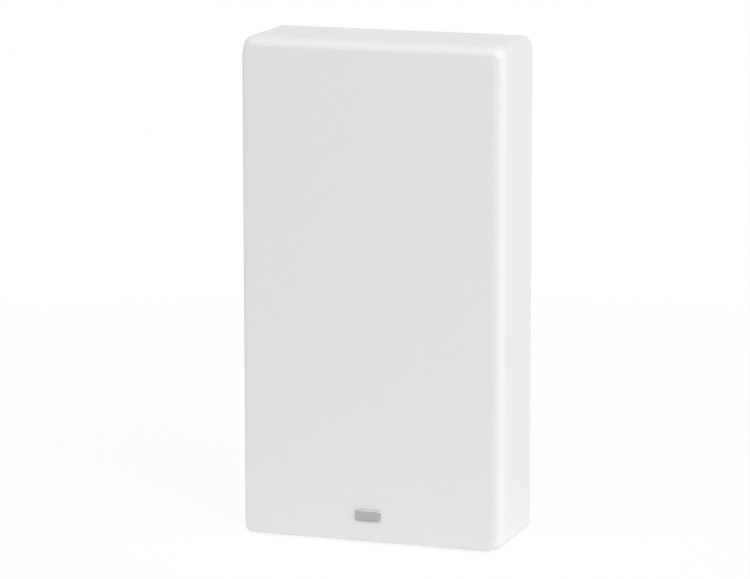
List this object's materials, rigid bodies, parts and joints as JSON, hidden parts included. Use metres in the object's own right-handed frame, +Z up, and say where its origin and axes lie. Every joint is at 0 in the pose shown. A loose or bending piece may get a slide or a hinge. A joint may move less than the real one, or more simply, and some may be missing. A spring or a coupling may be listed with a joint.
{
  "type": "on-wall speaker",
  "caption": "Slim white box loudspeaker to hang on a wall or stand, with a rounded cloth-covered pull-off grille, cone and dome drivers and a recessed terminal cup behind.",
  "frame": {"origin": "under the middle of the whole speaker, at the height of its base", "axes": "+Z up, -Y out of the front of the grille, +Y to the wall, +X to the right of someone facing the front"},
  "size_m": [0.206, 0.083, 0.38],
  "materials": {
    "lacquer": "satin white lacquer on fibreboard",
    "grille_cloth": "fine pale grey stretched cloth",
    "frame_paint": "pale grey paint on fibreboard",
    "peg_plastic": "moulded, satin",
    "cup_rubber": "soft black rubber",
    "badge_chrome": "polished, blank",
    "bumper_rubber": "soft grey rubber",
    "wadding": "white polyester wadding",
    "black_steel": "black oxide",
    "zinc_steel": "zinc plated",
    "cup_plastic": "fine-grained black",
    "gold_brass": "gold plated",
    "red_plastic": "moulded red",
    "black_plastic": "moulded black",
    "board": "green laminate",
    "spacer_plastic": "natural nylon",
    "copper": "enamelled copper wire",
    "capacitor_film": "yellow film wrap",
    "resistor_ceramic": "cast ceramic body",
    "gasket_foam": "closed-cell foam",
    "dome_silk": "coated black silk",
    "coil_wire": "copper-clad wire on a thin former",
    "ferrite": "ground ferrite",
    "basket_paint": "black painted casting",
    "surround_rubber": "black butyl rubber",
    "cone_paper": "coated black paper",
    "spider_cloth": "resin-stiffened cotton"
  },
  "bodies": {
    "cabinet": {"cabinet": "lacquer", "crossover_board": "board", "crossover_capacitors": "capacitor_film", "crossover_resistor": "resistor_ceramic", "crossover_screws": "zinc_steel", "crossover_spacers": "spacer_plastic", "grille_cups": "cup_rubber", "keyhole_plate_left": "zinc_steel", "keyhole_plate_right": "zinc_steel", "keyhole_screws": "black_steel", "lower_woofer_basket": "basket_paint", "lower_woofer_gasket": "gasket_foam", "lower_woofer_magnet": "ferrite", "lower_woofer_spider": "spider_cloth", "lower_woofer_surround": "surround_rubber", "lower_woofer_top_plate": "zinc_steel", "lower_woofer_yoke": "zinc_steel", "negative_collar": "black_plastic", "negative_post": "gold_brass", "positive_collar": "red_plastic", "positive_post": "gold_brass", "post_nuts": "gold_brass", "rear_panel": "lacquer", "terminal_cup": "cup_plastic", "terminal_screws": "black_steel", "tweeter_dome": "dome_silk", "tweeter_faceplate": "cup_plastic", "tweeter_gasket": "gasket_foam", "tweeter_inductor": "copper", "tweeter_magnet": "ferrite", "tweeter_screws": "black_steel", "tweeter_top_plate": "zinc_steel", "tweeter_voice_coil": "coil_wire", "tweeter_yoke": "zinc_steel", "upper_woofer_basket": "basket_paint", "upper_woofer_gasket": "gasket_foam", "upper_woofer_magnet": "ferrite", "upper_woofer_spider": "spider_cloth", "upper_woofer_surround": "surround_rubber", "upper_woofer_top_plate": "zinc_steel", "upper_woofer_yoke": "zinc_steel", "wadding": "wadding", "wall_bumpers": "bumper_rubber", "woofer_inductor": "copper", "woofer_screws": "black_steel"},
    "grille": {"grille_frame": "frame_paint", "grille_cloth": "grille_cloth", "grille_pegs": "peg_plastic", "grille_badge": "badge_chrome"},
    "upper_cone": {"upper_woofer_cone": "cone_paper", "upper_woofer_dust_cap": "cone_paper", "upper_woofer_voice_coil": "coil_wire"},
    "lower_cone": {"lower_woofer_cone": "cone_paper", "lower_woofer_dust_cap": "cone_paper", "lower_woofer_voice_coil": "coil_wire"},
    "positive_clamp": {"positive_washer": "gold_brass"},
    "positive_knob": {"positive_knob": "red_plastic"},
    "negative_clamp": {"negative_washer": "gold_brass"},
    "negative_knob": {"negative_knob": "black_plastic"}
  },
  "joints": [
    {"name": "grille_pull", "type": "slide", "parent": "cabinet", "child": "grille", "axis": [0, -1, 0], "range_m": [0, 0.04]},
    {"name": "upper_cone_travel", "type": "slide", "parent": "cabinet", "child": "upper_cone", "axis": [0, -1, 0], "range_m": [-0.004, 0.004], "stiffness_N_per_m": 900, "deforming": ["upper_woofer_surround", "upper_woofer_spider"]},
    {"name": "lower_cone_travel", "type": "slide", "parent": "cabinet", "child": "lower_cone", "axis": [0, -1, 0], "range_m": [-0.004, 0.004], "stiffness_N_per_m": 900, "deforming": ["lower_woofer_surround", "lower_woofer_spider"]},
    {"name": "positive_clamp_lift", "type": "slide", "parent": "cabinet", "child": "positive_clamp", "axis": [0, 1, 0], "range_m": [0, 0.0032]},
    {"name": "positive_knob_turn", "type": "hinge", "parent": "positive_clamp", "child": "positive_knob", "pos_m": [-0.00953, 0.02605, 0.158], "axis": [0, 1, 0], "range_deg": [0, 1440]},
    {"name": "negative_clamp_lift", "type": "slide", "parent": "cabinet", "child": "negative_clamp", "axis": [0, 1, 0], "range_m": [0, 0.0032]},
    {"name": "negative_knob_turn", "type": "hinge", "parent": "negative_clamp", "child": "negative_knob", "pos_m": [0.00953, 0.02605, 0.158], "axis": [0, 1, 0], "range_deg": [0, 1440]}
  ],
  "couplings": [
    {"joint": "positive_knob_turn", "follows": "positive_clamp_lift", "rad_per_m": 7854},
    {"joint": "negative_knob_turn", "follows": "negative_clamp_lift", "rad_per_m": 7854}
  ]
}
